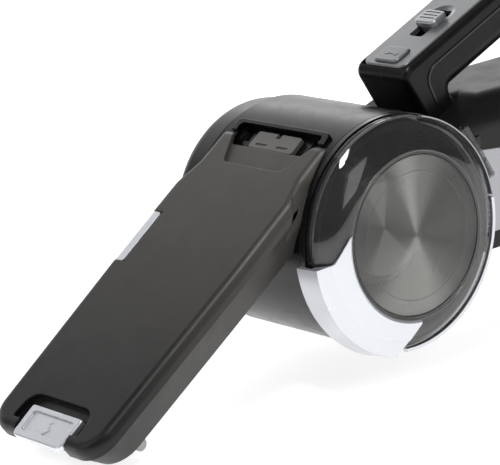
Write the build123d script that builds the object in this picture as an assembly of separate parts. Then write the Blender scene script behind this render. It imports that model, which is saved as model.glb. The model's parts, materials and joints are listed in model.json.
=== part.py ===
from build123d import *
from math import cos, radians, sin, tan
import os

# Handheld vacuum with a pivoting nozzle, in millimetres and degrees.
# Everything is modelled about the pivot: X runs along the drum's axis towards the dust bowl,
# -Y points forward, Z is up. The finished nodes are then moved together so that the origin is
# the bottom centre of the whole object as it stands, nozzle lowered to the table.
# The nozzle is drawn flat, pointing to -Y, and then turned down by nozzle_slope.
# Angles about the drum count from straight back (+Y), upwards.

# ------------------------------------------------------------------ drum and pivot
drum_r = 60.0           # outside of the turning sleeve and of the right collar
sleeve_half = 43.0      # half the sleeve's length
sleeve_wall = 3.0       # at its ends, over the spigots
sleeve_mid_wall = 5.0   # between the spigots
pivot_clear = 0.05      # radial running clearance, spigot in sleeve
end_gap = 0.5           # between the sleeve's ends and the rings beside it
spigot_len = 8.0
spigot_wall = 2.4
end_cap_len = 22.5
cap_wall = 3.0
groove_at = 4.1         # groove round the end cap, from its inner edge
collar_len = 3.0
wheel_r = 30.0
wheel_len = 6.0
shaft_r = 4.0
shaft_clear = 0.05
cone_r = 44.0           # pre-filter cone at its foot
cone_end_r = 28.0
cone_wall = 1.6
pleats = 28
pleat_out, pleat_in = 28.4, 17.4
paper_thick = 0.9
filter_len = 45.0

# ------------------------------------------------------------------ dust bowl and door
bowl_clear = 0.55       # barrel in the collar's spigot
bowl_wall = 2.0
bowl_flange = 1.8
seal_len = 1.0
door_seal_len = 0.8
door_base_len = 1.9
dome_rise = 10.0
window_r = 41.0
window_len = 1.6
lip = 2.2               # rim around the window
dome_wall = 2.0
hinge_at = 28.0         # where the door's hinge sits
pin_r = 1.2
pin_clear = 0.05
knuckle_r = 2.5
knuckle_len = 12.0      # the bowl's knuckle, between the door's two
latch_at = -143.0       # middle of the latch
latch_skin = 3.6
latch_gap = 0.6

# ------------------------------------------------------------------ nozzle
nozzle_slope = 34.2
nozzle_len = 137.0      # beyond the drum
top_rise = 2.0          # flat top above the drum
upper_depth = 8.0       # flat top down to the seam between the shells
lower_depth = 18.0      # seam down to the flat bottom
tip_corner = 15.0
shell_wall = 2.2
edge_round = 5.0
side_draft = 9.0        # how far the sides and the mouth run in at the bottom
seam_step = 0.8
seat_gap = 0.05         # nozzle shells on the sleeve
plate_front = -7.0      # front edge of the latch plate
recess_depth = 1.7      # finger recess before the latch
screw_r = 1.45
post_r = 4.2
tool_wall = 1.6
tool_gap = 0.4
tab_len = 20.0
tab_thick = 7.6
tab_lip = 3.0           # the tab's thickness at its front edge
button_travel = 1.6
button_gap = 0.6        # extension button in its notch, lengthways

# ------------------------------------------------------------------ brush
brush_thick = 3.0
brush_half = 30.0
brush_hub_r = 3.4
brush_hub_len = 3.0
brush_len = 30.0        # frame, from the pivot
tuft_len = 12.0

# ------------------------------------------------------------------ housing, handle and heel
wall = 2.4
sleeve_gap = 0.8        # housing to turning sleeve
grip_half = 20.0
grip_rise = 22.6        # slope of the grip
grip_thick = 26.0
grip_sink = 2.5         # grip's underside at the button, below the body's top
fold_room = 7.0         # folded nozzle to the heel
column_thick = 30.0
heel_half = 30.0
pad_thick = 3.0
insert_half = 16.5
insert_front = 8.0
insert_thick = 2.6
channel_half = 13.0
channel_front = 6.6
button_along = 0.8      # thumb button, along the grip
button_wide, button_long = 18.0, 12.6
slider_along = 32.0
slider_travel = 8.0
panel_thick = 1.4
panel_proud = 0.7
motor_z = 12.0
motor_len = 56.0
rotor_shaft_r = 1.6
cell_r = 9.0
cell_len = 65.0
cell_gap = 0.15         # cells in their tray
boss_r = 4.6            # round the housing's screws
socket_r = 2.9
socket_depth = 9.0

# ------------------------------------------------------------------ worked-out places
sleeve_bore = drum_r - sleeve_wall
mid_bore = drum_r - sleeve_mid_wall
spigot_r = sleeve_bore - pivot_clear
spigot_bore = spigot_r - spigot_wall
spigot_end = sleeve_half - spigot_len
ring_x = sleeve_half + end_gap
cap_x = -ring_x - end_cap_len
end_cap_r = drum_r - 3.0
collar_x = ring_x + collar_len
flange_x = collar_x + seal_len
door_seal_x = flange_x + bowl_flange
door_x = door_seal_x + door_seal_len
dome_x = door_x + door_base_len
window_x = dome_x + dome_rise
cone_from, cone_to = 13.0 - sleeve_half, sleeve_half - 9.0
filter_from = cone_from - 6.0
filter_to = filter_from + filter_len
bowl_r = spigot_bore - bowl_clear
bowl_left = 8.3 - spigot_end
flange_r = drum_r - 0.6
seal_r = flange_r - 0.8
dome_root_r = flange_r - 0.9
hinge_r = flange_r + 3.0
# nozzle: heights above the pivot axis, reaches from it
nozzle_top = drum_r + top_rise
seam_at = nozzle_top - upper_depth
nozzle_floor = seam_at - lower_depth
nozzle_reach = drum_r + nozzle_len
mouth_reach = nozzle_reach - side_draft
tab_reach = nozzle_reach + 2.0
pocket_floor = nozzle_top - 5.0
neck_half = sleeve_half - 1.0
shoulder_half = sleeve_half + 4.6
tip_half = sleeve_half + 2.0
tongue_half = neck_half - 6.0
tool_half = sleeve_half - 17.0
tool_floor = nozzle_floor + 4.0
tab_half = tool_half - 5.0
button_inner = neck_half - 5.4      # inner wall of the notch in the nozzle's left edge
notch_near, notch_far = drum_r - 3.0, drum_r + 31.0
screw_x = tool_half + 6.5
screw_near, screw_far = drum_r + 4.0, mouth_reach - 30.0
brush_pivot = mouth_reach - 18.5
brush_pivot_top = nozzle_floor - 4.2
brush_low = nozzle_floor - 0.8 - brush_thick
# housing
front_cut_r = drum_r + sleeve_gap
body_half = sleeve_half - 2.0
body_top = drum_r - 8.0
body_floor = 32.5 - drum_r
column_front = tab_reach + fold_room
column_rear = column_front + column_thick
body_rear = column_front + 10.0
tip_low = mouth_reach * sin(radians(nozzle_slope)) - nozzle_floor * cos(radians(nozzle_slope))
heel_floor = round(pad_thick + 0.6 - tip_low, 1)
grip_front = (drum_r - 13.0, body_top - grip_sink + grip_thick)     # Y, Z at the grip's top, by the button
grip_len = round((column_rear - 36.7 - grip_front[0]) / cos(radians(grip_rise)), 1)
insert_len = grip_len - 15.0
channel_len = insert_len - 8.0
inlay_end = (drum_r - 2.0, body_top - grip_sink)      # Y, Z of the line's lower end, on the post
rotor_r = (body_top - body_floor) / 2 - 9.25
motor_r = rotor_r - 6.5
fan_at = drum_r + 10.0
motor_from = fan_at + 24.0
motor_to = motor_from + motor_len
socket_z = heel_floor + 31.3


# ------------------------------------------------------------------ helpers
def disc(x0, x1, radius):
    return Pos((x0 + x1) / 2, 0, 0) * Rot(0, 90, 0) * Cylinder(radius, x1 - x0)


def ring(x0, x1, outer, inner):
    return disc(x0, x1, outer) - disc(x0 - 1, x1 + 1, inner)


def slab(x, y, z):
    size = [high - low for low, high in (x, y, z)]
    return Pos(*[(low + high) / 2 for low, high in (x, y, z)]) * Box(*size)


def plan_block(points, z0, z1, radii=0.0):
    """An outline seen from above, between two heights."""
    outline = make_face(FilletPolyline(*points, radius=radii, close=True))
    return Pos(0, 0, z0) * extrude(outline, z1 - z0)


def side_block(points, x0, x1, radii=0.0):
    """An outline of (Y, Z) points seen from the side, between two X values."""
    outline = make_face(FilletPolyline(*points, radius=radii, close=True))
    return extrude(Plane.YZ.offset(x0) * outline, x1 - x0)


def turned(profile):
    """A closed profile of (X, radius) points, straight or an arc, turned about the drum's axis."""
    return revolve(make_face(profile), Axis.X)


def sector(a0, a1, x0, x1, reach=90.0):
    """A wedge about the drum's axis, to keep or cut a stretch of a ring."""
    steps = max(2, int((a1 - a0) / 30) + 1)
    angles = [radians(a0 + (a1 - a0) * i / steps) for i in range(steps + 1)]
    points = [(0, 0)] + [(reach * cos(a), reach * sin(a)) for a in angles]
    return side_block(points, x0, x1)


def at_angle(angle, radius, x):
    """Frame on the drum: local X stays, local Y is tangential, local Z points outwards."""
    a = radians(angle)
    return Pos(x, radius * cos(a), radius * sin(a)) * Rot(angle - 90, 0, 0)


def coil(radius, wire, pitch, height):
    """A helical spring standing on Z."""
    path = Helix(pitch, height, radius)
    return sweep(Plane(origin=path @ 0, z_dir=path % 0) * Circle(wire), path, is_frenet=True)


nozzle_place = Rot(nozzle_slope, 0, 0)
grip_place = Pos(0, *grip_front) * Rot(grip_rise, 0, 0)


def grip_point(along, up):
    """(Y, Z) of a point given along the grip and up from its top face."""
    a = radians(grip_rise)
    return (grip_front[0] + along * cos(a) - up * sin(a), grip_front[1] + along * sin(a) + up * cos(a))


# ------------------------------------------------------------------ nozzle
def nozzle_outline(inset, top):
    """Plan of the nozzle at one height. The sides and the tip move in by inset."""
    half = [
        (neck_half - inset, 1.0),
        (neck_half + 0.5 - inset, -22.0),
        (shoulder_half - inset, -37.0),
        (shoulder_half + 0.4 - inset, -80.0),
        (tip_half - inset, -nozzle_reach + inset),
    ]
    points = half + [(-x, y) for x, y in reversed(half)]
    radii = [2.0, 14.0, 12.0, 30.0, tip_corner]
    wire = FilletPolyline(*points, radius=radii + radii[::-1], close=True)
    return Pos(0, 0, top) * make_face(wire)


def latch_clearance():
    """Room for the door's latch, which the nozzle passes as it turns."""
    return ring(ring_x, drum_r + 10, drum_r + 9.5, drum_r - 12)


def neck_recess(floor, front, rear):
    """Recess in the neck down to a floor, between two distances behind the pivot axis."""
    half = [(tongue_half - 2.5, 6.5), (tongue_half - 4.0, -2.0), (tongue_half - 13.0, -20.0)]
    points = half + [(-x, y) for x, y in reversed(half)]
    block = plan_block(points, floor, nozzle_top + 5, [3.0, 8.0, 5.0, 5.0, 8.0, 3.0])
    return block & slab((-80, 80), (front, rear), (floor - 1, nozzle_top + 6))


def latch_pocket():
    """Deep rear part of the recess, where the latch plate slides."""
    return neck_recess(pocket_floor, plate_front - 0.4, 10)


def button_notch():
    return slab((-shoulder_half - 12, -button_inner), (-notch_far, -notch_near), (seam_at, nozzle_top + 3))


def screw_posts():
    """Where the nozzle's screws stand, (x, y)."""
    return [(side * screw_x, y) for side in (-1, 1) for y in (-screw_near, -screw_far)]


def nozzle_upper():
    body = extrude(nozzle_outline(0, seam_at), nozzle_top - seam_at)
    body = fillet(body.faces().sort_by(Axis.Z)[-1].edges(), edge_round)
    hollow = extrude(nozzle_outline(shell_wall + 1.2, seam_at - 1), nozzle_top - shell_wall - seam_at + 1)
    hollow &= slab((-80, 80), (-mouth_reach + 20, -drum_r - 6), (0, 120))
    for x, y in screw_posts():
        hollow -= Pos(x, y, seam_at) * Cylinder(post_r, 30)
    hollow -= slab((-80, -button_inner + shell_wall), (-notch_far - 2.5, -notch_near + 2.5), (0, 120))
    body -= hollow
    body -= disc(-80, 80, drum_r + seat_gap)
    body -= latch_clearance()
    body -= latch_pocket()
    body -= neck_recess(nozzle_top - recess_depth, -30, plate_front)
    body -= button_notch()
    # finger scoop, then the slot that the pull tab slides in
    scoop_half = tab_half + 5
    scoop = plan_block(
        [(-scoop_half - 2, -mouth_reach - 2), (scoop_half + 2, -mouth_reach - 2),
         (scoop_half, 14 - mouth_reach), (-scoop_half, 14 - mouth_reach)],
        nozzle_top - 3.4, nozzle_top + 3, [2, 2, 9, 9])
    body -= scoop
    tab_room = tab_half + tool_gap
    tab_rear = tab_len - tab_reach - 0.6
    body -= slab((-tab_room, tab_room), (-tab_reach - 20, tab_rear), (seam_at - 1, nozzle_top + 3))
    for x, y in screw_posts():
        body -= Pos(x, y, seam_at) * Cylinder(screw_r, 5.6)
    return nozzle_place * body


def nozzle_lower():
    floor_plan = nozzle_outline(seam_step + side_draft, nozzle_floor)
    outer = loft([nozzle_outline(seam_step, seam_at), floor_plan], ruled=True)
    inner_step = seam_step + shell_wall
    depth = seam_at - nozzle_floor
    low_step = inner_step + side_draft * (depth - shell_wall) / depth
    inner = loft(
        [nozzle_outline(inner_step, seam_at + 0.01), nozzle_outline(low_step, nozzle_floor + shell_wall)],
        ruled=True)
    for x, y in screw_posts():
        inner -= Pos(x, y, seam_at - depth / 2) * Cylinder(post_r, depth + 2)
    body = outer - inner
    mouth = tool_half + tool_gap
    body -= slab((-mouth, mouth), (-tab_reach - 20, -mouth_reach + 16), (tool_floor - tool_gap, seam_at + 1))
    # ears for the brush, just inside its hubs
    for side in (-1, 1):
        ear_x = sorted((side * (brush_half - brush_hub_len - 3.3), side * (brush_half - brush_hub_len - 0.3)))
        ear = Pos(0, -brush_pivot, brush_pivot_top) * disc(*ear_x, 3.2)
        ear += slab(ear_x, (-brush_pivot - 3.2, -brush_pivot + 3.2), (brush_pivot_top, nozzle_floor + 0.5))
        body += ear
        hole = disc(ear_x[0] - 0.5, ear_x[1] + 0.5, pin_r + pin_clear)
        body -= Pos(0, -brush_pivot, brush_pivot_top) * hole
    body -= disc(-80, 80, drum_r + seat_gap)
    body -= latch_clearance()
    for x, y in screw_posts():
        body -= Pos(x, y, nozzle_floor + 2) * Cylinder(3.1, 4.2)
        body -= Pos(x, y, seam_at - 6) * Cylinder(screw_r, 20)
    return nozzle_place * body


def nozzle_screws():
    screws = []
    for x, y in screw_posts():
        head = Pos(x, y, nozzle_floor + 3) * Cylinder(2.8, 2.0)
        cross = slab((x - 1.6, x + 1.6), (y - 0.35, y + 0.35), (nozzle_floor, nozzle_floor + 2.9))
        shank = Pos(x, y, nozzle_floor + 11.5) * Cylinder(1.4, 15.4)
        screws.append(nozzle_place * (head + shank - cross))
    return screws


def pivot_sleeve():
    body = ring(-sleeve_half, sleeve_half, drum_r, sleeve_bore)
    body += ring(-spigot_end + 1.5, spigot_end - 1.5, drum_r - 1, mid_bore)
    body -= slab((-tool_half - 2, tool_half + 2), (-drum_r - 2, -28), (nozzle_floor + 3, seam_at - 1))
    # frame of the latch pocket, just behind the nozzle's rear edge
    frame = plan_block(
        [(tongue_half + 1, 1.1), (tongue_half, 9.0), (-tongue_half, 9.0), (-tongue_half - 1, 1.1)],
        drum_r - sleeve_wall + 1.2, nozzle_top - 0.4, [0.5, 3.0, 3.0, 0.5])
    body += fillet(frame.faces().sort_by(Axis.Z)[-1].edges(), 0.5)
    body -= latch_pocket()
    for side in (-1, 1):
        body -= Pos(side * (tongue_half - 9), 2.0, pocket_floor) * Box(7, 7, 3.2)
    return nozzle_place * body


def neck_latch():
    """Sliding plate in the neck pocket, with two slots and a notch."""
    front, low, high = plate_front, pocket_floor + 0.3, pocket_floor + 2.9
    plate = plan_block([(17, 4), (17.5, front), (-17.5, front), (-17, 4)], low, high, 1.5)
    plate = fillet(plate.faces().sort_by(Axis.Z)[-1].edges(), 0.4)
    for side in (-1, 1):
        slot = Pos(side * 8.2, front + 2.6, high) * Box(8.5, 1.5, 1.4)
        plate -= slot
    plate -= Pos(0, 3.0, pocket_floor + 2) * Box(3.4, 4.2, 6)
    return nozzle_place * plate


def extension_button():
    top = nozzle_top - 0.5
    near, far = -notch_near - button_gap, -notch_far + button_gap
    body = slab((0.6 - shoulder_half, -button_inner - button_travel - 0.4), (far, near), (seam_at + 0.3, top))
    outer = body.edges().filter_by(Axis.Y).group_by(Axis.Z)[-1].sort_by(Axis.X)[0]
    body = fillet(outer, 3.4)
    body = fillet(body.edges().filter_by(Axis.Z).group_by(Axis.X)[-1], 1.5)
    for i in range(4):
        rib = (near + far) / 2 - 5.0 + 3.4 * i
        body -= slab((-shoulder_half - 3, 1.7 - shoulder_half), (rib, rib + 1.4), (seam_at + 1.4, top - 3.4))
    return nozzle_place * body


def pull_tab():
    """Silver tab on the crevice tool: a raised rim, a sunk panel and an arrow to the tip."""
    low, high = seam_at - tool_gap, seam_at - tool_gap + tab_thick
    rear = -tab_reach + tab_len - 1.0
    body = plan_block(
        [(-tab_half, rear), (tab_half, rear), (tab_half - 0.6, -tab_reach), (-tab_half + 0.6, -tab_reach)],
        low, high, [1.5, 1.5, 4.0, 4.0])
    body = fillet(body.faces().sort_by(Axis.Z)[-1].edges(), 1.0)
    body -= plan_block(
        [(4 - tab_half, rear - 3), (tab_half - 4, rear - 3),
         (tab_half - 4.5, 4 - tab_reach), (4.5 - tab_half, 4 - tab_reach)],
        high - 1.2, high + 1, 2.0)
    # thin lip beyond the nozzle's front wall
    body -= slab((-tab_half - 1, tab_half + 1), (-tab_reach - 1, -nozzle_reach + 4), (low - 1, high - tab_lip))
    # generic mark: a small square and an arrow to the tip
    middle = (rear - tab_reach) / 2 - 0.3
    arrow = [(-1.2, 1.6), (1.2, 1.6), (1.2, -0.6), (3.4, -0.6), (0, -4.2), (-3.4, -0.6), (-1.2, -0.6)]
    mark = make_face(Polyline(*arrow, close=True)) + Pos(0, 3.6) * Rectangle(2.4, 1.8)
    body += Pos(0, middle, high - 1.3) * extrude(mark, 0.55)
    return nozzle_place * body


def crevice_tool():
    low, high = tool_floor, seam_at - tool_gap
    rear = -drum_r - 16
    front = -mouth_reach + 2
    tube = slab((-tool_half, tool_half), (front, rear), (low, high))
    tube = fillet(tube.edges().filter_by(Axis.Y), 2.0)
    bore_half = tool_half - tool_wall
    tube -= slab((-bore_half, bore_half), (front - 5, rear + 5), (low + tool_wall, high - tool_wall))
    tube -= Pos(0, front, low) * Rot(40, 0, 0) * Box(2 * tool_half + 4, 22, 9)
    shelf = slab((-tab_half + 1, tab_half - 1), (-nozzle_reach + 5, front + 6), (high - tool_wall, high))
    return nozzle_place * (tube + shelf)


def brush_frame():
    """Flat frame folded back under the nozzle, on two hubs outside the nozzle's ears."""
    high = brush_low + brush_thick
    body = slab((-brush_half, brush_half), (8 - brush_pivot, brush_len - brush_pivot), (brush_low, high))
    body = fillet(body.edges().filter_by(Axis.Z).group_by(Axis.Y)[-1], 4.0)
    for side in (-1, 1):
        hub_x = sorted((side * (brush_half - brush_hub_len), side * brush_half))
        body += slab(hub_x, (-brush_pivot, 9 - brush_pivot), (brush_low, high))
        body += Pos(0, -brush_pivot, brush_pivot_top) * disc(*hub_x, brush_hub_r)
        pin_x = sorted((side * (brush_half - brush_hub_len - 3.0), side * (brush_half - 1)))
        body += Pos(0, -brush_pivot, brush_pivot_top) * disc(*pin_x, pin_r)
    return nozzle_place * body


def brush_bristles():
    """Tufts along the brush frame's edge."""
    low, high = brush_low + 0.4, brush_low + brush_thick - 0.4
    near, far = brush_len - brush_pivot, brush_len + tuft_len - brush_pivot
    tufts = []
    for i in range(13):
        x = (brush_half - 3.6) * (i / 6 - 1)
        tufts.append(nozzle_place * slab((x - 1.8, x + 1.8), (near, far), (low, high)))
    return tufts


# ------------------------------------------------------------------ dust bowl, door and latch
def dust_bowl():
    """Clear barrel with an inlet slot as wide as the nozzle's travel, and a flange for the door."""
    body = ring(bowl_left, door_seal_x, bowl_r, bowl_r - bowl_wall)
    body += ring(flange_x, door_seal_x, flange_r, bowl_r - bowl_wall)
    body -= sector(97, 329, -tool_half, tool_half)
    knuckle = at_angle(hinge_at, hinge_r, door_x) * Rot(90, 0, 0) * Cylinder(knuckle_r, knuckle_len)
    root = at_angle(hinge_at, (hinge_r + flange_r) / 2 - 1.0, (flange_x + door_x) / 2)
    body += root * Box(door_x - flange_x, knuckle_len, hinge_r - flange_r + 1.5)
    body += knuckle
    body -= at_angle(hinge_at, hinge_r, door_x) * Rot(90, 0, 0) * Cylinder(pin_r + pin_clear, 20)
    body -= disc(flange_x - 5, door_x + 6, bowl_r - bowl_wall)
    body -= disc(door_seal_x, door_x + 6, flange_r)
    return body


def bowl_seal():
    return ring(collar_x, flange_x, seal_r, spigot_bore + 0.4)


def dome_profile(outer):
    """(X, radius) of the dome's outer or inner face: root, middle and lip."""
    root_r = dome_root_r if outer else dome_root_r - dome_wall
    top_r = window_r + lip if outer else window_r
    mid_r = root_r + (top_r - root_r) * (0.40 if outer else 0.42)
    mid_x = dome_x + dome_rise * 0.63
    shift = 0 if outer else -dome_wall * 0.6
    return (dome_x, root_r), (mid_x + shift, mid_r), (window_x - (0 if outer else window_len), top_r)


def door_dome():
    """Smoked dome with the ring it is moulded on."""
    outer, inner = dome_profile(True), dome_profile(False)
    profile = Curve() + [
        ThreePointArc(*outer),
        Line(outer[2], (window_x, window_r)),
        Line((window_x, window_r), inner[2]),
        ThreePointArc(inner[2], inner[1], inner[0]),
        Line(inner[0], (door_x, inner[0][1])),
        Line((door_x, inner[0][1]), (door_x, flange_r)),
        Line((door_x, flange_r), (dome_x, flange_r)),
        Line((dome_x, flange_r), outer[0]),
    ]
    body = turned(profile)
    beside = knuckle_len - 0.6
    for side in (-1, 1):
        place = at_angle(hinge_at, hinge_r, door_x)
        root = at_angle(hinge_at, (hinge_r + flange_r) / 2 - 1.0, (door_x + dome_x) / 2 + 0.2)
        body += root * Pos(0, side * beside, 0) * Box(door_base_len - 0.4, 10, hinge_r - flange_r + 1.5)
        body += place * Pos(0, side * beside, 0) * Rot(90, 0, 0) * Cylinder(knuckle_r, 10)
        body -= place * Pos(0, side * beside, 0) * Rot(90, 0, 0) * Cylinder(pin_r + pin_clear, 14)
    return body


def door_window():
    return disc(window_x - window_len, window_x - 0.2, window_r)


def door_seal():
    return ring(door_seal_x, door_x, dome_root_r - 1, bowl_r - bowl_wall + 1)


def door_trim():
    """Silver arc around the door's lower and rear rim."""
    arc = ring(door_x + 0.2, dome_x + 1.2, flange_r + 1.8, flange_r)
    return arc & sector(-96, 4, 0, 90)


def hinge_band():
    """Black strip over the dome's edge beside the hinge."""
    band = ring(dome_x + 0.1, dome_x + 3.0, flange_r, dome_root_r + 0.2)
    return band & sector(6, 74, 0, 90)


def hinge_pin():
    return at_angle(hinge_at, hinge_r, door_x) * Rot(90, 0, 0) * Cylinder(pin_r, 32)


def door_latch():
    """A band that wraps the barrel up to a ridge, and a face over the dome as far as the window."""
    outer, gap = dome_profile(True), latch_gap
    back, under = ring_x + 1.0, drum_r + 1.2
    ridge = (dome_x + 6.0, under + 1.2)
    valley, shoulder = (dome_x + 7.4, under - 6.9), (dome_x + 8.3, under - 7.8)
    lip_out, lip_in = (window_x + 1.3, window_r + lip + 1.0), (window_x + gap, window_r + lip - 0.4)
    dome_foot = (dome_x + gap, outer[0][1] + gap)
    profile = Curve() + [
        Line((back, under), (back, under + latch_skin - 0.8)),
        Line((back, under + latch_skin - 0.8), ridge),
        Line(ridge, valley),
        Line(valley, shoulder),
        Line(shoulder, lip_out),
        Line(lip_out, lip_in),
        ThreePointArc(lip_in, (outer[1][0] + gap, outer[1][1] + gap), dome_foot),
        Line(dome_foot, (dome_foot[0], under)),
        Line((dome_foot[0], under), (back, under)),
    ]
    body = turned(profile)
    # its outline seen from the right, as (angle, radius)
    outline = [
        (160.0, window_r - 5.0), (167.0, window_r + 3.4), (182.2, drum_r - 7.0), (183.1, drum_r + 14.0),
        (219.8, drum_r + 33.7), (246.0, drum_r + 23.6), (250.0, drum_r + 12.0), (252.0, drum_r + 3.4),
        (258.5, drum_r - 4.7), (266.2, window_r + 4.1), (263.7, window_r - 4.8), (198.4, window_r - 9.4),
    ]
    side = [(r * cos(radians(angle)), r * sin(radians(angle))) for angle, r in outline]
    return body & side_block(side, 0, 90, [1, 1, 3, 1, 1, 1, 3, 3, 4, 1, 1, 1])


def latch_spring():
    """Flat spring that returns the latch, fixed on the door's rim."""
    arc = ring(door_x + 0.3, dome_x - 0.3, flange_r + 0.7, flange_r)
    return arc & sector(latch_at - 14, latch_at + 14, 0, 90)


# ------------------------------------------------------------------ filter, left end and collar
def prefilter_cone():
    """Coarse cone around the pleated filter, with long slots and a blunt nose."""
    outer_end, inner_end = cone_end_r, cone_end_r - cone_wall
    outer = turned(Polyline(
        (cone_from, 0), (cone_from, cone_r), (cone_to, outer_end), (cone_to + 3, outer_end - 4),
        (cone_to + 3, 0), close=True))
    inner = turned(Polyline(
        (cone_from - 1, 0), (cone_from - 1, cone_r - cone_wall), (cone_to - 0.5, inner_end),
        (cone_to + 1.4, inner_end - 4), (cone_to + 1.4, 0), close=True))
    body = outer - inner
    # foot ring that stands on the bulkhead
    body += ring(-ring_x + cap_wall, cone_from + 0.5, cone_r, cone_r - 2.4)
    for i in range(18):
        body -= Rot(20 * i + 10, 0, 0) * slab((cone_from + 8, cone_to - 26), (-1.2, 1.2), (20, 50))
    return body


def spoked_disc(x0, x1, outer, opening, hub, bore, spokes=3):
    body = ring(x0, x1, outer, opening)
    for i in range(spokes):
        arm = slab((x0, x1), (-1.6, 1.6), (hub - 1, opening + 1))
        body += Rot(360 / spokes * i, 0, 0) * arm
    body += disc(x0, x1, hub)
    return body - disc(x0 - 1, x1 + 1, bore)


def left_bulkhead():
    """Wall between drum and left end, with the sleeve's left spigot and the shaft's bush."""
    body = spoked_disc(-ring_x, -ring_x + cap_wall, spigot_r, 15.0, 7.5, shaft_r + shaft_clear)
    return body + ring(-ring_x, -spigot_end, spigot_r, spigot_bore)


def left_end_cap():
    """Rounded flange that takes the clean air to the left arm; the filter wheel sits in its face."""
    body = fillet(disc(cap_x, -ring_x, end_cap_r).edges().group_by(Axis.X)[0], 7.0)
    body -= disc(cap_x + cap_wall, -ring_x + 1, end_cap_r - cap_wall)
    body += disc(cap_x + 1, cap_x + wheel_len + 1.5 + cap_wall, wheel_r + 1.0 + cap_wall)
    body -= disc(cap_x - 1, cap_x + wheel_len + 1.5, wheel_r + 1.0)
    body -= disc(cap_x, -20, shaft_r + shaft_clear)
    # air way into the arm, and a thin groove round the rim
    body -= slab((cap_x + 8, -ring_x - 3.5), (30, 80), (-14, 24))
    body -= ring(-ring_x - groove_at - 1, -ring_x - groove_at, end_cap_r + 1, end_cap_r - 0.8)
    return body


def filter_wheel():
    """Knob that turns the filter, with finger ribs round its rim."""
    body = disc(cap_x + 0.3, cap_x + wheel_len, wheel_r)
    body = fillet(body.edges().group_by(Axis.X)[0], 1.5)
    body -= disc(cap_x, cap_x + 2.6, wheel_r - 6)
    for i in range(24):
        body -= Rot(15 * i, 0, 0) * Pos(cap_x, 0, wheel_r) * Rot(0, 90, 0) * Cylinder(1.3, 5)
    body += slab((cap_x + 0.8, cap_x + 3), (-3.5, 3.5), (-wheel_r + 7, wheel_r - 7))
    return body


def filter_shaft():
    return disc(cap_x + wheel_len, filter_from - 3, shaft_r)


def filter_frame():
    body = spoked_disc(filter_from - 3, filter_from, pleat_out + 1.6, 14.5, 6.5, shaft_r - 1)
    body -= disc(filter_from - 4, filter_from - 3 + 0.01, shaft_r)
    body += ring(filter_from, filter_to, 15.5, 14.0)
    for i in range(8):
        body -= Rot(45 * i, 0, 0) * slab((filter_from + 3, filter_to - 3), (-3, 3), (10, 20))
    return body + ring(filter_to, filter_to + 2, pleat_out + 0.6, 4.0)


def pleated_filter():
    """Folded filter paper as one closed star ring."""
    def star(outer, inner):
        points = []
        for i in range(2 * pleats):
            a = radians(180 / pleats * i)
            r = outer if i % 2 == 0 else inner
            points.append((r * cos(a), r * sin(a)))
        return points
    body = side_block(star(pleat_out, pleat_in), filter_from, filter_to)
    inner = star(pleat_out - 1.9 * paper_thick, pleat_in - paper_thick)
    return body - side_block(inner, filter_from - 1, filter_to + 1)


def right_collar():
    body = ring(ring_x, collar_x, drum_r, spigot_bore)
    return body + ring(spigot_end, ring_x, spigot_r, spigot_bore)


# ------------------------------------------------------------------ housing and handle
def handle_loop():
    """Post, grip and rear column around the finger opening."""
    slope = tan(radians(grip_rise))
    top_end = grip_point(grip_len, 0)
    outline = [
        (drum_r - 6, drum_r - 24), grip_point(-12.5, 0), top_end, (column_rear, top_end[1] - 26),
        (column_rear, heel_floor), (column_front, heel_floor), (column_front, -10.0),
    ]
    body = side_block(outline, -grip_half, grip_half, [0.5, 6.5, 24.0, 26.0, 6.0, 5.0, 0.5])
    under = grip_point(0, -grip_thick)
    def under_z(y):
        return under[1] + (y - under[0]) * slope
    front, rear = drum_r + 10, column_front - 16
    opening = [
        (front + 1, body_top), (front, under_z(front)), (rear, under_z(rear)), (rear + 10, body_top + 18),
        (column_front - 2, body_top),
    ]
    hole = side_block(opening, -grip_half - 5, grip_half + 5, [0.3, 1.6, 13.0, 14.0, 6.0])
    body -= hole
    faces = body.faces().filter_by(Axis.X)
    inner_edges = [edge for face in faces for wire in face.inner_wires() for edge in wire.edges()]
    body = fillet(inner_edges, 8.0)
    faces = body.faces().filter_by(Axis.X)
    outer_edges = [edge for face in faces for edge in face.outer_wire().edges()]
    return fillet(outer_edges, 3.6)


def body_block(inset):
    """Motor housing: a rounded section along Y, trimmed to the side profile."""
    half = body_half - inset
    low, high = body_floor + inset, body_top - inset
    section = make_face(FilletPolyline(
        (-half, low), (half, low), (half, high), (-half, high),
        radius=[9 - inset, 9 - inset, 16 - inset, 16 - inset], close=True))
    # XZ sketches face -Y, so this one is pulled backwards along +Y
    block = extrude(Plane.XZ.offset(-30) * section, -(body_rear - inset - 30))
    front = drum_r - 24
    side = [
        (front, front), (front + 16, front + 4 - inset), (front + 42, high), (body_rear - inset, high),
        (body_rear - inset, low), (front + 4, low),
    ]
    return block & side_block(side, -body_half, body_half, [0.5, 12, 14, 12 - inset, 10 - inset, 0.5])


def arms(inset):
    """Shoulders that reach round the sleeve to the left end and to the right collar."""
    low, high = -22.0 + inset, 34.0 - inset
    near, far = drum_r - 2 - inset, drum_r + 30 - inset
    left = [
        (cap_x + 4 + inset, 20), (cap_x + 4 + inset, near), (-body_half + inset + 1, far),
        (-20, far), (-20, 20),
    ]
    right = [
        (ring_x + 2 - inset, 20), (ring_x + 2 - inset, near), (body_half - inset - 1, near + 10),
        (20, near + 10), (20, 20),
    ]
    block = plan_block(left, low, high, [0.5, 8, 6, 0.5, 0.5])
    if inset == 0:
        block += plan_block(right, low, high, [0.5, 4, 3, 0.5, 0.5])
    return block


def housing_screw_places():
    """(Y, Z) of the screws that clamp the two halves."""
    low, high = body_floor + 8.5, body_top - 9
    front, middle, rear = drum_r + 38, body_rear - 64, column_front + 15
    return [
        (front, low), (middle, low + 0.5), (front, high), (middle, high), (rear, low - 1), (rear, high + 19),
    ]


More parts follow.
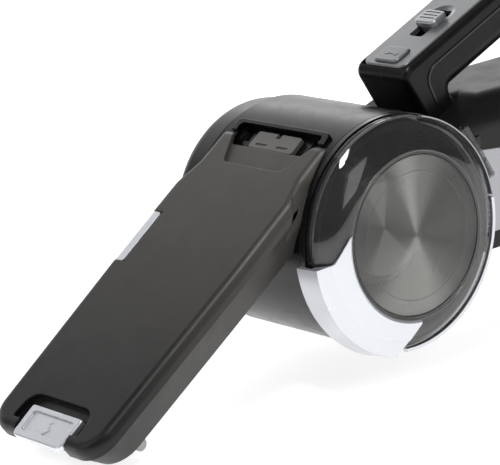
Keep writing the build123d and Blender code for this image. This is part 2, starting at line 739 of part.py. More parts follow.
def side_panel_outline(grow):
    """Outline of the silver panel: it narrows and drops towards the rear."""
    front, rear, low = drum_r + 1, body_rear - 40, body_floor + 9
    return [
        (front - grow, low + 45.5 + grow), (rear - 6 + grow, low + 32.5 + grow), (rear + grow, low + 12.5),
        (rear - 16, low - grow), (front + 2 - grow, low - grow),
    ]


def panel_reach(gap):
    """Stretch of the body's side that the panel covers."""
    return slab((-80, 80), (drum_r + gap, body_rear - 16 - gap), (-90, 90))


def housing_shell():
    outer = body_block(0) + arms(0) + handle_loop()
    heel = plan_block(
        [(-heel_half, column_front), (heel_half, column_front),
         (heel_half, column_rear), (-heel_half, column_rear)],
        heel_floor, body_floor + 6, [5, 5, 12, 12])
    outer += heel
    # room for the drum: the sleeve turns inside, the end rings are seated
    outer -= disc(-ring_x, ring_x, front_cut_r)
    outer -= disc(ring_x - 0.01, 90, drum_r + seat_gap)
    outer -= disc(-90, -ring_x + 0.01, end_cap_r + seat_gap)
    # the body's hollow, with the front wall kept
    hollow = body_block(wall) - disc(-90, 90, front_cut_r + wall)
    duct = arms(wall) - disc(-ring_x - 3, 90, front_cut_r + wall) - disc(-90, -ring_x - 2, end_cap_r - 2)
    hollow += duct
    column_top = grip_point(grip_len, 0)[1] - 35
    hollow += slab((-15, 15), (column_front + 3, column_rear - wall), (heel_floor + 6.3, column_top))
    for y, z in housing_screw_places():
        hollow -= Pos(0, y, z) * disc(-60, 60, boss_r)
    outer -= hollow
    # grip: seat for the insert and a channel below it
    outer -= grip_place * slab((-insert_half, insert_half), (-insert_front, insert_len), (-insert_thick, 4))
    channel_x = (-channel_half, channel_half)
    outer -= grip_place * slab(channel_x, (-channel_front, channel_len), (-19, 1 - insert_thick))
    # seats of the side panels
    for side in (-1, 1):
        seat_x = sorted((side * (body_half - panel_thick + panel_proud), side * (body_half + 6)))
        seat = side_block(side_panel_outline(0.15), *seat_x, [4, 6, 10, 10, 4])
        outer -= seat & panel_reach(0)
    # screw heads from the left, charging socket at the back, exhaust slots low on both sides
    for y, z in housing_screw_places():
        depth = body_half if y < body_rear else grip_half
        outer -= Pos(0, y, z) * disc(-depth - 5, -depth + 7, 3.2)
        outer -= Pos(0, y, z) * disc(-depth, depth - 6, 1.55)
    outer -= Pos(0, column_rear, socket_z) * Rot(90, 0, 0) * Cylinder(5.0, 14)
    for i in range(7):
        slot = body_rear - 36 + 4 * i
        outer -= slab((-80, 80), (slot, slot + 2), (16, 34))
    return outer


def housing_halves():
    shell = housing_shell()
    big = 400
    left = shell & slab((-big, 0), (-big, big), (-big, big))
    right = shell & slab((0, big), (-big, big), (-big, big))
    return left, right


def housing_screws():
    screws = []
    for y, z in housing_screw_places():
        depth = body_half if y < body_rear else grip_half
        head = Pos(0, y, z) * disc(-depth + 5, -depth + 7, 2.9)
        shank = Pos(0, y, z) * disc(-depth + 7, depth - 8, 1.5)
        cross = slab((-depth + 4, -depth + 6), (y - 1.7, y + 1.7), (z - 0.35, z + 0.35))
        screws.append(head + shank - cross)
    return screws


def grip_insert():
    """Silver top of the grip, with a window for the button and a scooped seat for the slider."""
    body = slab((-insert_half, insert_half), (-insert_front, insert_len), (-insert_thick, 0.4))
    body = fillet(body.edges().filter_by(Axis.Z).group_by(Axis.Y)[0], 6.0)
    body = fillet(body.faces().sort_by(Axis.Z)[-1].edges(), 0.9)
    body -= Pos(0, button_along, 0) * rounded_plate(button_wide + 0.8, button_long + 0.8, 12, 3.5)
    body -= Pos(0, slider_along - slider_travel / 2 + 3, 0) * rounded_plate(10.4, slider_travel + 17, 12, 2.0)
    body -= Pos(0, slider_along + 6, 25.0) * Sphere(26.2)
    return grip_place * body


def rounded_plate(width, length, height, corner):
    """A flat plate centred on the origin with round corners."""
    return extrude(RectangleRounded(width, length, corner), height / 2, both=True)


def handle_button():
    cap = rounded_plate(button_wide, button_long, 4.4, 3.2)
    cap = fillet(cap.faces().sort_by(Axis.Z)[-1].edges(), 1.0)
    stem = Pos(0, 0, -4.0) * Box(8, 6, 4.2)
    # generic mark: two small raised dots joined by a bar
    mark = Pos(0, 0, 2.1) * Box(5.4, 0.9, 0.7)
    for side in (-1, 1):
        mark += Pos(side * 3.4, 0, 2.1) * Cylinder(1.5, 0.7)
    return grip_place * Pos(0, button_along, -0.4) * (cap + stem + mark)


def button_spring():
    """Coil spring, shown at its pressed length."""
    return grip_place * Pos(6.5, button_along, -8.6) * coil(1.5, 0.28, 1.1, 3.2)


def button_carrier():
    """Ledge across the grip's channel that the button's spring stands on."""
    body = slab((-channel_half, channel_half), (-channel_front, 14), (-10.8, -8.9))
    return grip_place * (body - slab((-3, 3), (-2, 6), (-12, -8)))


def power_slider():
    """Thumb piece with a scooped, ribbed face."""
    body = rounded_plate(15.6, 11.5, 3.4, 3.0)
    body = fillet(body.faces().sort_by(Axis.Z)[-1].edges(), 1.1)
    for i in range(3):
        body -= Pos(0, -1.8 + 2.6 * i, 1.9) * Box(11, 0.9, 1.2)
    stem = Pos(0, 0, -4.0) * Box(8.6, 9, 5.2)
    return grip_place * Pos(0, slider_along, 2.3) * (body + stem)


def power_switch():
    body = slab((-9, 9), (slider_along - 16, slider_along + 12), (-16, -6.2))
    lever = slab((-2, 2), (slider_along - 1.5, slider_along + 1.5), (-6.3, -5.0))
    return grip_place * (body + lever)


def grip_inlay(side):
    """Thin line along the handle's side and down the post."""
    path = FilletPolyline(
        grip_point(grip_len - 25, -8.6), grip_point(0.5, -8.6), inlay_end, radius=9.0)
    line = trace(path, 1.3)
    face_x = grip_half if side > 0 else -grip_half - 0.5
    return extrude(Plane.YZ.offset(face_x) * line, 0.5)


def side_panel(side):
    face = side * (body_half + panel_proud)
    back = side * (body_half + panel_proud - panel_thick)
    low, high = sorted((face, back))
    plate = side_block(side_panel_outline(0), low, high, [4, 6, 10, 10, 4])
    plate &= panel_reach(0.15)
    outer_face = plate.faces().sort_by(Axis.X)[-1 if side > 0 else 0]
    return fillet(outer_face.edges(), 0.6)


def heel_pad():
    body = plan_block(
        [(-heel_half + 4, column_front + 3), (heel_half - 4, column_front + 3),
         (heel_half - 4, column_rear - 3), (-heel_half + 4, column_rear - 3)],
        heel_floor - pad_thick, heel_floor, 3.0)
    for i in range(4):
        y = column_front + 8 + 4.6 * i
        body -= slab((-22, 22), (y, y + 1.2), (heel_floor - pad_thick - 1, heel_floor - pad_thick + 0.8))
    return body


# ------------------------------------------------------------------ inside the housing
def along_y(y0, y1, radius):
    return Pos(0, (y0 + y1) / 2, motor_z) * Rot(90, 0, 0) * Cylinder(radius, y1 - y0)


def motor_can():
    body = along_y(motor_from, motor_to, motor_r)
    body = fillet(body.edges().group_by(Axis.Y)[-1], 2.0)
    body += along_y(motor_from - 1.5, motor_from + 1, 8.0)
    body += along_y(motor_to - 1, motor_to + 2.0, 6.0)
    body -= along_y(motor_from - 5, motor_to + 5, rotor_shaft_r + shaft_clear)
    for i in range(4):
        vent = Pos(0, 0, motor_z) * Rot(0, 90 * i + 45, 0) * Pos(0, motor_to - 6, motor_r) * Box(12, 7, 2)
        body -= vent
    return body


def motor_shaft():
    return along_y(fan_at + 5.2, motor_to + 5, rotor_shaft_r)


def impeller():
    """Centrifugal fan: a hub, a back plate and swept blades."""
    body = along_y(fan_at + 16, fan_at + 18, rotor_r) + along_y(fan_at + 6, fan_at + 18, 6.0)
    for i in range(9):
        blade = Pos(0, 0, rotor_r - 14) * Rot(0, 24, 0) * Box(1.4, 9.5, 23)
        body += Pos(0, fan_at + 11.5, motor_z) * Rot(0, 40 * i, 0) * blade
    body &= along_y(fan_at, fan_at + 20, rotor_r)
    return body - along_y(fan_at, fan_at + 20, rotor_shaft_r + 0.001)


def fan_shroud():
    body = along_y(fan_at, fan_at + 23, rotor_r + 3.4) - along_y(fan_at + 2.4, fan_at + 24, rotor_r + 1.4)
    return body - along_y(fan_at - 1, fan_at + 3, 13.0)


def motor_mount():
    front, rear = motor_from + 10, motor_from + 20
    body = along_y(front, rear, motor_r + 9) - along_y(front - 1, rear + 1, motor_r + seat_gap)
    inner_half = body_half - wall
    return body & slab((-inner_half, inner_half), (front, rear), (body_floor + wall, body_top - wall))


def cell_places():
    return [(body_rear - 14 - 19 * i, z) for i in (2, 1, 0) for z in (-6.0, 13.0)]


def battery_cells():
    cells = []
    for y, z in cell_places():
        cell = Pos(0, y, z) * disc(-cell_len / 2, cell_len / 2 - 1.2, cell_r)
        cells.append(cell + Pos(0, y, z) * disc(cell_len / 2 - 1.3, cell_len / 2, 3.0))
    return cells


def battery_tray():
    """Cradle that holds the cells, open at the top."""
    low = cell_places()[0][1] - cell_r - 2.2
    body = slab((-30, 30), (body_rear - 62.5, body_rear - 3.5), (low, 2.0))
    for y, z in cell_places():
        body -= Pos(0, y, z) * disc(-40, 40, cell_r + cell_gap)
    for y, z in housing_screw_places():
        body -= Pos(0, y, z) * disc(-50, 50, boss_r + 0.3)
    return body


def control_board():
    face = body_rear - 1.8
    board = slab((-13, 13), (face - 1.6, face), (-9.0, body_top - 4))
    chips = [(-6, 34, 7), (5, 20, 9), (-4, 4, 6)]
    for x, z, size in chips:
        board += slab((x - size / 2, x + size / 2), (face - 0.1, face + 2.2), (z - size / 2, z + size / 2))
    for y, z in housing_screw_places():
        board -= Pos(0, y, z) * disc(-50, 50, boss_r + 0.3)
    return board


def charge_socket():
    body = slab((-6.5, 6.5), (column_rear - 16, column_rear - wall - 0.1), (socket_z - 6.5, socket_z + 6.5))
    body += Pos(0, column_rear - 4, socket_z) * Rot(90, 0, 0) * Cylinder(4.8, 7.4)
    bore_mid = column_rear - 0.3 - socket_depth / 2
    return body - Pos(0, bore_mid, socket_z) * Rot(90, 0, 0) * Cylinder(socket_r, socket_depth)


def exhaust_filter():
    """Foam block behind the exhaust slots, either side of the cells."""
    front, rear = body_rear - 38, body_rear - 8
    return [
        slab(sorted((side * (body_half - 6.5), side * (body_half - 2.7))), (front, rear), (20, 38))
        for side in (-1, 1)
    ]


# ------------------------------------------------------------------ assembly
def build():
    left_half, right_half = housing_halves()
    return {
        "housing_left": left_half,
        "housing_right": right_half,
        "grip_insert": grip_insert(),
        "grip_inlay_left": grip_inlay(-1),
        "grip_inlay_right": grip_inlay(1),
        "side_panel_left": side_panel(-1),
        "side_panel_right": side_panel(1),
        "heel_pad": heel_pad(),
        "housing_screws": housing_screws(),
        "left_end_cap": left_end_cap(),
        "left_bulkhead": left_bulkhead(),
        "right_collar": right_collar(),
        "prefilter_cone": prefilter_cone(),
        "motor_can": motor_can(),
        "motor_mount": motor_mount(),
        "fan_shroud": fan_shroud(),
        "battery_cells": battery_cells(),
        "battery_tray": battery_tray(),
        "control_board": control_board(),
        "power_switch": power_switch(),
        "charge_socket": charge_socket(),
        "exhaust_filter": exhaust_filter(),
        "button_carrier": button_carrier(),
        "button_spring": button_spring(),
        "handle_button": handle_button(),
        "power_slider": power_slider(),
        "impeller": impeller(),
        "motor_shaft": motor_shaft(),
        "filter_wheel": filter_wheel(),
        "filter_shaft": filter_shaft(),
        "filter_frame": filter_frame(),
        "pleated_filter": pleated_filter(),
        "pivot_sleeve": pivot_sleeve(),
        "nozzle_upper": nozzle_upper(),
        "nozzle_lower": nozzle_lower(),
        "nozzle_screws": nozzle_screws(),
        "neck_latch": neck_latch(),
        "extension_button": extension_button(),
        "crevice_tool": crevice_tool(),
        "pull_tab": pull_tab(),
        "brush_frame": brush_frame(),
        "brush_bristles": brush_bristles(),
        "dust_bowl": dust_bowl(),
        "bowl_seal": bowl_seal(),
        "door_dome": door_dome(),
        "door_window": door_window(),
        "door_seal": door_seal(),
        "door_trim": door_trim(),
        "hinge_band": hinge_band(),
        "hinge_pin": hinge_pin(),
        "door_latch": door_latch(),
        "latch_spring": latch_spring(),
    }


def solids_of(shape):
    items = shape if isinstance(shape, (list, ShapeList)) else [shape]
    return [solid for item in items for solid in item.solids()]


def main():
    nodes = {name: Compound(children=solids_of(shape)) for name, shape in build().items()}
    box = Compound(children=[Compound(solids_of(node)) for node in nodes.values()]).bounding_box()
    shift = Pos(0, -(box.min.Y + box.max.Y) / 2, -box.min.Z) * Pos(-(box.min.X + box.max.X) / 2, 0, 0)
    os.makedirs("parts", exist_ok=True)
    for name, node in nodes.items():
        export_step(Compound([shift * solid for solid in solids_of(node)]), f"parts/{name}.step")
    print("pivot axis at", shift.position, "size", box.size)


main()
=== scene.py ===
import json
from math import cos, pi, radians, sin, tan

import bmesh
import bpy
from mathutils import Matrix, Vector


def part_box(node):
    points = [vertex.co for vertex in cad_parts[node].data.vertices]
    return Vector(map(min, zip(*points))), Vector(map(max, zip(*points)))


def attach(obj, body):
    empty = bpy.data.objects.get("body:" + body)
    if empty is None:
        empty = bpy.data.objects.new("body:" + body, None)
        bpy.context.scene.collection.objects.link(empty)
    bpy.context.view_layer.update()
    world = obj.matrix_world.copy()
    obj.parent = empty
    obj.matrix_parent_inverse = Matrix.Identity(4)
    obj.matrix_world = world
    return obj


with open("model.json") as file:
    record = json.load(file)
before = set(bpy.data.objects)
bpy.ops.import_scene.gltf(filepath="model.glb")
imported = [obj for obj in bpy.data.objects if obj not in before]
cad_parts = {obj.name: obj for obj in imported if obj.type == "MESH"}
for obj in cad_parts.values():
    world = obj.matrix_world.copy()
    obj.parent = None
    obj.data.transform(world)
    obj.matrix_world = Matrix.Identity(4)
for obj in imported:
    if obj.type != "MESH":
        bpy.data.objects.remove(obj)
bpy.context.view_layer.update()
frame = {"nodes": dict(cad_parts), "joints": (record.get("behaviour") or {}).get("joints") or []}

# Handheld vacuum with a pivoting nozzle. Metres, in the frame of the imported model.
MM = 0.001
nodes = frame["nodes"]
joints = {joint["name"]: joint for joint in frame["joints"]}
pivot = Vector(joints["nozzle_pivot"]["pos_m"])

# Painted highlights fanned out round the drum's axis: (share of a turn from +Y upwards, level)
cone_painted_highlights = (
    (0.0, 0.25), (0.19, 0.35), (0.27, 1.0), (0.33, 0.5), (0.47, 0.3),
    (0.62, 0.35), (0.74, 1.0), (0.82, 0.9), (0.90, 0.4))
window_painted_highlights = (
    (0.0, 0.36), (0.12, 0.33), (0.21, 0.50), (0.26, 0.70), (0.32, 0.38), (0.46, 0.30),
    (0.57, 0.38), (0.67, 0.66), (0.77, 0.70), (0.86, 0.42), (0.94, 0.34))
# Where the nozzle's painted shade darkens it towards the tip, and where the housing's colour turns darker
# upwards, from the pivot
nozzle_painted_shade_from = 0.045
nozzle_painted_shade_short = 0.02       # ends this far behind the tip
housing_shade = (0.030, 0.058)


# ------------------------------------------------------------------ material building blocks
def rgb(value):
    """A hex colour as linear RGBA."""
    channels = [int(value[i:i + 2], 16) / 255 for i in (0, 2, 4)]
    return [c / 12.92 if c <= 0.04045 else ((c + 0.055) / 1.055) ** 2.4 for c in channels] + [1.0]


class Shader:
    """A Principled material whose texture nodes are added by name."""

    def __init__(self, name, color, rough, metal=0.0, ior=1.5, coat=0.0, coat_rough=0.1, alpha=1.0):
        self.material = bpy.data.materials.new(name)
        self.material.use_nodes = True
        self.tree = self.material.node_tree
        self.bsdf = self.tree.nodes["Principled BSDF"]
        self.color = rgb(color)
        self.rough = rough
        for socket, value in (
                ("Base Color", self.color), ("Roughness", rough), ("Metallic", metal), ("IOR", ior),
                ("Coat Weight", coat), ("Coat Roughness", coat_rough), ("Alpha", alpha)):
            self.bsdf.inputs[socket].default_value = value
        coords = self.tree.nodes.new("ShaderNodeTexCoord")
        self.place = coords.outputs["Object"]
        self.normal = None

    def link(self, output, socket):
        self.tree.links.new(output, socket)

    def noise(self, scale, detail=3.0, rough=0.5, stretch=None):
        node = self.tree.nodes.new("ShaderNodeTexNoise")
        node.inputs["Scale"].default_value = scale
        node.inputs["Detail"].default_value = detail
        node.inputs["Roughness"].default_value = rough
        place = self.place
        if stretch:
            mapping = self.tree.nodes.new("ShaderNodeMapping")
            mapping.inputs["Scale"].default_value = stretch
            self.link(place, mapping.inputs["Vector"])
            place = mapping.outputs["Vector"]
        self.link(place, node.inputs["Vector"])
        return node.outputs["Fac"]

    def cells(self, scale):
        node = self.tree.nodes.new("ShaderNodeTexVoronoi")
        node.inputs["Scale"].default_value = scale
        self.link(self.place, node.inputs["Vector"])
        return node.outputs["Distance"]

    def fan(self, centre, stops):
        """Painted highlights: grey levels set out round an axis along X.

        Each stop is a share of a turn, counted from +Y upwards, and a level.
        """
        split = self.tree.nodes.new("ShaderNodeSeparateXYZ")
        self.link(self.place, split.inputs["Vector"])
        legs = []
        for axis, offset in (("Z", centre.z), ("Y", centre.y)):
            leg = self.tree.nodes.new("ShaderNodeMath")
            leg.operation = "SUBTRACT"
            leg.inputs[1].default_value = offset
            self.link(split.outputs[axis], leg.inputs[0])
            legs.append(leg.outputs["Value"])
        angle = self.tree.nodes.new("ShaderNodeMath")
        angle.operation = "ARCTAN2"
        for leg, socket in zip(legs, angle.inputs):
            self.link(leg, socket)
        turn = self.tree.nodes.new("ShaderNodeMath")
        turn.operation = "FRACT"
        self.link(self.remap(angle.outputs["Value"], 0.5, 1.5, -pi, pi), turn.inputs[0])
        ramp = self.tree.nodes.new("ShaderNodeValToRGB")
        ramp.color_ramp.interpolation = "EASE"
        first, last = ramp.color_ramp.elements
        first.position, last.position = 0.0, 1.0
        first.color = last.color = [stops[0][1]] * 3 + [1.0]
        for place, level in stops[1:]:
            ramp.color_ramp.elements.new(place).color = [level] * 3 + [1.0]
        self.link(turn.outputs["Value"], ramp.inputs["Fac"])
        return ramp.outputs["Color"]

    def remap(self, output, low, high, start=0.0, end=1.0):
        node = self.tree.nodes.new("ShaderNodeMapRange")
        for socket, value in (("From Min", start), ("From Max", end), ("To Min", low), ("To Max", high)):
            node.inputs[socket].default_value = value
        self.link(output, node.inputs["Value"])
        return node.outputs["Result"]

    def tint(self, output, darker, lighter):
        """Colour runs from darker to lighter times the base colour as output goes from 0.3 to 0.7."""
        ramp = self.tree.nodes.new("ShaderNodeValToRGB")
        for element, place, share in zip(ramp.color_ramp.elements, (0.3, 0.7), (darker, lighter)):
            element.position = place
            element.color = [min(1.0, c * share) for c in self.color[:3]] + [1.0]
        self.link(output, ramp.inputs["Fac"])
        self.link(ramp.outputs["Color"], self.bsdf.inputs["Base Color"])

    def shade_along(self, axis, low, high, color):
        """Turns to another colour between two places of the resting model, along one axis."""
        split = self.tree.nodes.new("ShaderNodeSeparateXYZ")
        self.link(self.place, split.inputs["Vector"])
        mix = self.tree.nodes.new("ShaderNodeMix")
        mix.data_type = "RGBA"
        self.link(self.remap(split.outputs[axis], 0.0, 1.0, low, high), mix.inputs["Factor"])
        self.link(self.bsdf.inputs["Base Color"].links[0].from_socket, mix.inputs["A"])
        mix.inputs["B"].default_value = rgb(color)
        self.link(mix.outputs["Result"], self.bsdf.inputs["Base Color"])

    def vary_rough(self, output, spread):
        low, high = self.rough * (1 - spread), min(1.0, self.rough * (1 + spread))
        self.link(self.remap(output, low, high, 0.3, 0.7), self.bsdf.inputs["Roughness"])

    def soften_edges(self, radius):
        """Rounds sharp edges in the shading, as a mould or paint leaves them."""
        bevel = self.tree.nodes.new("ShaderNodeBevel")
        bevel.samples = 4
        bevel.inputs["Radius"].default_value = radius
        self.normal = bevel.outputs["Normal"]
        self.link(self.normal, self.bsdf.inputs["Normal"])

    def bump(self, output, depth, strength=1.0):
        node = self.tree.nodes.new("ShaderNodeBump")
        node.inputs["Distance"].default_value = depth
        node.inputs["Strength"].default_value = strength
        self.link(output, node.inputs["Height"])
        if self.normal:
            self.link(self.normal, node.inputs["Normal"])
        self.normal = node.outputs["Normal"]
        self.link(self.normal, self.bsdf.inputs["Normal"])


def moulded(name, color, rough, grain=1500.0, grain_depth=0.02, spread=0.12, edge=0.35, ior=1.5, shades=()):
    """Moulded plastic: fine spark-eroded grain, slight unevenness of colour and gloss."""
    shader = Shader(name, color, rough, ior=ior)
    shader.tint(shader.noise(38.0, 4.0), 1 - spread, 1 + spread)
    for shade in shades:
        shader.shade_along(*shade)
    shader.vary_rough(shader.noise(90.0, 3.0), 0.12)
    shader.soften_edges(edge * MM)
    shader.bump(shader.noise(grain, 2.0), grain_depth * MM, 0.6)
    return shader.material


def silver_paint(name, color="C9CBCF", rough=0.34):
    """Satin silver paint: metal flakes in a clear coat."""
    shader = Shader(name, color, rough, metal=0.72, coat=0.25, coat_rough=0.18)
    shader.tint(shader.noise(5200.0, 1.0), 0.93, 1.05)
    shader.vary_rough(shader.noise(60.0, 2.0), 0.10)
    shader.soften_edges(0.3 * MM)
    shader.bump(shader.cells(3800.0), 0.004 * MM, 0.35)
    return shader.material


def clear_plastic(name, color, alpha, ior, rough=0.05, levels=None):
    """Thin clear plastic: see-through, faintly wavy, and evenly tinted unless a fan of levels is given,
    which paints highlights in sectors round the drum's axis.
    """
    shader = Shader(name, color, rough, ior=ior, alpha=alpha)
    if levels:
        # painted highlights: the fan lightens and darkens the colour in sectors round the axis
        shader.tint(shader.fan(pivot, levels), 0.12, 1.5)
    else:
        shader.tint(shader.noise(30.0, 2.0), 0.85, 1.15)
    shader.vary_rough(shader.noise(150.0, 3.0), 0.4)
    shader.bump(shader.noise(22.0, 1.0), 0.05 * MM, 0.5)
    return shader.material


def rubber(name, color="101010"):
    shader = Shader(name, color, 0.62)
    shader.tint(shader.noise(300.0, 4.0), 0.8, 1.25)
    shader.bump(shader.noise(1800.0, 3.0), 0.03 * MM, 0.7)
    return shader.material


def steel(name, color="9A9A9C", rough=0.32):
    """Drawn or turned steel with fine scratches along X."""
    shader = Shader(name, color, rough, metal=1.0)
    scratches = shader.noise(900.0, 3.0, 0.6, (0.08, 1.0, 1.0))
    shader.tint(scratches, 0.85, 1.1)
    shader.vary_rough(scratches, 0.25)
    shader.bump(scratches, 0.006 * MM, 0.5)
    return shader.material


def turned_cone(name):
    """Satin cone with a lathe's circular grain, whose colour carries painted highlights fanned out round
    its tip.
    """
    shader = Shader(name, "A8A8A4", 0.32, metal=0.35)
    shader.bsdf.inputs["Anisotropic"].default_value = 0.75
    tangent = shader.tree.nodes.new("ShaderNodeTangent")
    tangent.direction_type = "RADIAL"
    tangent.axis = "X"
    shader.link(tangent.outputs["Tangent"], shader.bsdf.inputs["Tangent"])
    # painted highlights: the cone's colour is lightened and darkened in sectors round the axis
    shader.tint(shader.fan(pivot, cone_painted_highlights), 0.16, 1.5)
    shader.vary_rough(shader.noise(200.0, 3.0), 0.15)
    shader.bump(shader.noise(700.0, 2.0, 0.5, (1.0, 0.2, 0.2)), 0.01 * MM, 0.5)
    return shader.material


def paper(name):
    shader = Shader(name, "DAD8CF", 0.85)
    fibres = shader.noise(1400.0, 5.0, 0.65)
    shader.tint(fibres, 0.86, 1.05)
    shader.bump(fibres, 0.05 * MM, 0.8)
    return shader.material


def foam(name):
    shader = Shader(name, "2A2A2A", 0.95)
    shader.tint(shader.cells(900.0), 0.35, 1.5)
    shader.bump(shader.cells(900.0), 0.3 * MM, 1.0)
    return shader.material


def bristles(name):
    shader = Shader(name, "B9B8B4", 0.6)
    strands = shader.noise(900.0, 2.0, 0.6, (1.0, 0.06, 0.06))
    shader.tint(strands, 0.45, 1.2)
    shader.bump(strands, 0.3 * MM, 1.0)
    return shader.material


# ------------------------------------------------------------------ finishes of the CAD nodes
def paint_nodes():
    """Gives every CAD node its material and returns the one that the window's rim shares."""
    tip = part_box("nozzle_upper")[0].y
    nozzle = moulded(
        "nozzle_grey", "45423F", 0.40, spread=0.05, grain_depth=0.012, edge=0.9, ior=1.38,
        # painted shade: the nozzle's colour darkens towards its tip
        shades=[("Y", pivot.y - nozzle_painted_shade_from, tip + nozzle_painted_shade_short, "0E0D0C")])
    housing = moulded(
        "housing_grey", "1C1A19", 0.36, spread=0.05, grain_depth=0.012, edge=0.5, ior=1.33,
        shades=[("Z", pivot.z + housing_shade[0], pivot.z + housing_shade[1], "0B0B0B")])
    black = moulded("handle_black", "141415", 0.38, spread=0.10, edge=0.5)
    drum = moulded("drum_black", "070707", 0.26, grain=1100.0, grain_depth=0.02, spread=0.15, edge=0.3,
                    ior=1.34)
    collar = moulded("collar_black", "0B0B0C", 0.20, grain_depth=0.006, edge=0.25)
    cap = moulded("end_cap_grey", "222222", 0.34, spread=0.06, edge=0.5)
    inner = moulded("inner_black", "1C1C1C", 0.55)
    dark_grey = moulded("latch_grey", "5C5B59", 0.45, spread=0.06)
    silver = silver_paint("silver", "A2A3A6", 0.30)
    satin = silver_paint("satin_grey", "808183", 0.36)
    tab = silver_paint("silver_bright", "D4D6DB", 0.30)
    smoked = clear_plastic("smoked_dome", "343433", 0.46, 1.9, 0.05)
    bowl = clear_plastic("smoked_bowl", "202020", 0.40, 2.0, 0.08)
    # the window's colour carries painted highlights fanned round the drum's axis
    window = clear_plastic("window_clear", "92928E", 0.42, 1.7, 0.04, window_painted_highlights)
    seal = rubber("seal_rubber")
    bright = steel("spring_steel", "B5B5B8", 0.25)
    zinc = steel("screw_steel")
    finishes = {
        nozzle: ["nozzle_upper", "nozzle_lower"],
        housing: ["housing_left", "housing_right"],
        drum: ["pivot_sleeve"],
        collar: ["right_collar"],
        cap: ["left_end_cap"],
        inner: [
            "left_bulkhead", "fan_shroud", "battery_tray", "power_switch", "button_carrier", "filter_shaft",
            "filter_frame", "crevice_tool", "charge_socket", "impeller"],
        dark_grey: ["neck_latch", "filter_wheel"],
        black: ["hinge_pin"],
        silver: ["power_slider", "side_panel_left", "side_panel_right", "hinge_band"],
        satin: ["grip_insert", "handle_button"],
        tab: ["door_latch", "door_trim", "pull_tab", "extension_button"],
        smoked: ["door_dome"],
        bowl: ["dust_bowl"],
        window: ["door_window"],
        seal: ["bowl_seal", "door_seal", "heel_pad", "motor_mount"],
        bright: ["latch_spring", "button_spring"],
        zinc: ["housing_screws", "nozzle_screws", "motor_shaft", "motor_can"],
        turned_cone("cone_grey"): ["prefilter_cone"],
        paper("filter_paper"): ["pleated_filter"],
        foam("exhaust_foam"): ["exhaust_filter"],
        bristles("brush_bristles"): ["brush_bristles"],
        moulded("brush_grey", "B4B3AF", 0.5): ["brush_frame"],
        moulded("cell_wrap", "1F5A4A", 0.35, spread=0.2): ["battery_cells"],
        moulded("circuit_board", "12401F", 0.45, spread=0.3): ["control_board"],
        moulded("grip_line", "080808", 0.25): ["grip_inlay_left", "grip_inlay_right"],
    }
    for material, names in finishes.items():
        for name in names:
            node = nodes[name]
            node.data.materials.clear()
            node.data.materials.append(material)
    return collar


# ------------------------------------------------------------------ meshes
def new_piece(name, mesh_data, material, body):
    piece = bpy.data.objects.new(name, mesh_data)
    bpy.context.scene.collection.objects.link(piece)
    mesh_data.materials.append(material)
    for polygon in mesh_data.polygons:
        polygon.use_smooth = True
    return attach(piece, body)


def lathe(name, profile, centre, material, body, steps=160):
    """A closed profile of (x, radius) points turned about an axis along X through centre."""
    mesh = bmesh.new()
    rings = []
    for i in range(steps):
        a = 2 * pi * i / steps
        rings.append([mesh.verts.new(centre + Vector((x, r * cos(a), r * sin(a)))) for x, r in profile])
    count = len(profile)
    for i in range(steps):
        here, there = rings[i], rings[(i + 1) % steps]
        for j in range(count):
            k = (j + 1) % count
            mesh.faces.new((here[j], here[k], there[k], there[j]))
    bmesh.ops.recalc_face_normals(mesh, faces=mesh.faces)
    data = bpy.data.meshes.new(name)
    mesh.to_mesh(data)
    mesh.free()
    return new_piece(name, data, material, body)


def bead(name, x, radius, size, material, body):
    """A thin round ring about the drum's axis."""
    sides = 10
    angles = [2 * pi * i / sides for i in range(sides)]
    profile = [(x + size * cos(a), radius + size * sin(a)) for a in angles]
    return lathe(name, profile, Vector((0, pivot.y, pivot.z)), material, body)


def window_details(rim_black):
    """Bright rim lines round the window and the fine ring engraved in it."""
    low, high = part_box("door_window")
    radius = (high.z - low.z) / 2
    rim = clear_plastic("rim_clear", "6A6A68", 0.7, 1.8, 0.12)
    bead("window_rim_outer", high.x + 0.1 * MM, radius + 1.7 * MM, 0.4 * MM, rim, "door")
    bead("window_rim_inner", high.x + 0.1 * MM, radius - 0.2 * MM, 0.3 * MM, rim_black, "door")
    groove = moulded("groove_grey", "5A5A58", 0.4)
    bead("window_groove", high.x - 0.05 * MM, radius * 0.80, 0.14 * MM, groove, "door")


# ------------------------------------------------------------------ stage, lights and camera
def stage():
    """Pale floor that curves up into a pale wall."""
    shader = Shader("floor_white", "F4F4F4", 0.9)
    shader.tint(shader.noise(3.0, 2.0), 0.99, 1.0)
    shader.bsdf.inputs["Emission Color"].default_value = (1.0, 1.0, 1.0, 1.0)
    shader.bsdf.inputs["Emission Strength"].default_value = 0.80
    shader.bump(shader.noise(400.0, 3.0), 0.05 * MM, 0.3)
    mesh = bmesh.new()
    half, back, bend, wall_top, steps = 6.0, 3.0, 1.2, 5.0, 12
    angles = [radians(90 * i / steps) for i in range(steps + 1)]
    path = [(-half, 0.0)]
    path += [(back + bend * sin(a), bend - bend * cos(a)) for a in angles]
    path.append((back + bend, wall_top))
    # the wall stands square to the camera
    turn = Matrix.Rotation(radians(camera_azimuth), 3, "Z")
    rows = [[mesh.verts.new(turn @ Vector((x, y, z))) for x in (-half, half)] for y, z in path]
    for a, b in zip(rows, rows[1:]):
        mesh.faces.new((a[0], a[1], b[1], b[0]))
    data = bpy.data.meshes.new("floor")
    mesh.to_mesh(data)
    mesh.free()
    for polygon in data.polygons:
        polygon.use_smooth = True
    floor = bpy.data.objects.new("floor", data)
    bpy.context.scene.collection.objects.link(floor)
    data.materials.append(shader.material)


def soft_light(name, place, target, width, height, power):
    light = bpy.data.lights.new(name, "AREA")
    light.shape = "RECTANGLE"
    light.size, light.size_y = width, height
    light.energy = power
    holder = bpy.data.objects.new(name, light)
    holder.location = place
    holder.rotation_euler = (target - place).to_track_quat("-Z", "Y").to_euler()
    bpy.context.scene.collection.objects.link(holder)


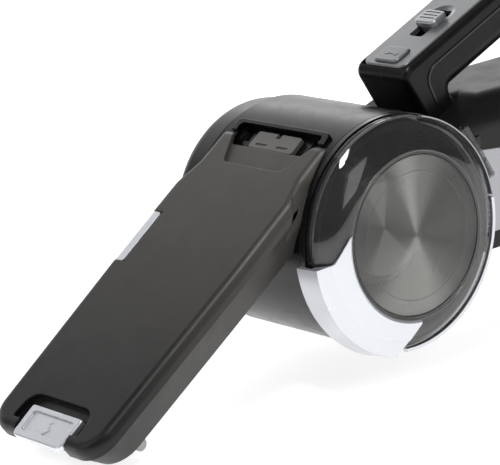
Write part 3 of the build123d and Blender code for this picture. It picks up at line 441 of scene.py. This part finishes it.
camera_azimuth = 53.3
camera_elevation = 14.9
camera_roll = -6.45
camera_distance = 1.4403
camera_lens = 201.6
aim_offset = (-0.0449, -0.0070)    # the drum's axis in the picture's plane, right and up from the aim


def camera_axes(azimuth, elevation, roll):
    """The camera's right, up and back directions."""
    a, e = radians(azimuth), radians(elevation)
    back = Vector((sin(a) * cos(e), -cos(a) * cos(e), sin(e)))
    right = Vector((0, 0, 1)).cross(back).normalized()
    up = back.cross(right)
    turn = Matrix.Rotation(radians(roll), 3, back)
    return turn @ right, turn @ up, back


def place_camera():
    right, up, back = camera_axes(camera_azimuth, camera_elevation, camera_roll)
    location = pivot + aim_offset[0] * right + aim_offset[1] * up + camera_distance * back
    data = bpy.data.cameras.new("camera")
    data.lens = camera_lens
    data.sensor_width = 36.0
    data.clip_start = 0.05
    data.clip_end = 60.0
    camera = bpy.data.objects.new("camera", data)
    basis = Matrix((right, up, back)).transposed().to_4x4()
    camera.matrix_world = Matrix.Translation(location) @ basis
    bpy.context.scene.collection.objects.link(camera)
    bpy.context.scene.camera = camera
    return right, back


def light_scene(right, back):
    world = bpy.data.worlds.new("studio")
    bpy.context.scene.world = world
    world.use_nodes = True
    background = world.node_tree.nodes["Background"]
    background.inputs["Color"].default_value = (1.0, 1.0, 1.0, 1.0)
    background.inputs["Strength"].default_value = 0.13
    sky = Vector((0, 0, 1))
    # name, place from the pivot, width and height in metres, power in watts
    lights = (
        ("drum_band", 1.3 * Vector((-0.775, 0.45, 0.42)), 0.5, 0.16, 0.55),
        ("edge_line", 1.2 * Vector((0.30, -0.23, 0.925)), 0.16, 0.5, 7.5),
        ("left_soft", -1.3 * right + 0.6 * sky + 0.3 * back, 0.5, 1.2, 4.0),
        ("front_card", 0.9 * right + 0.5 * sky + 1.3 * back, 0.6, 0.9, 3.0),
    )
    for name, offset, width, height, power in lights:
        soft_light(name, pivot + offset, pivot, width, height, power)
    bpy.context.scene.view_settings.view_transform = "Standard"


window_details(paint_nodes())
right, back = place_camera()
light_scene(right, back)
stage()
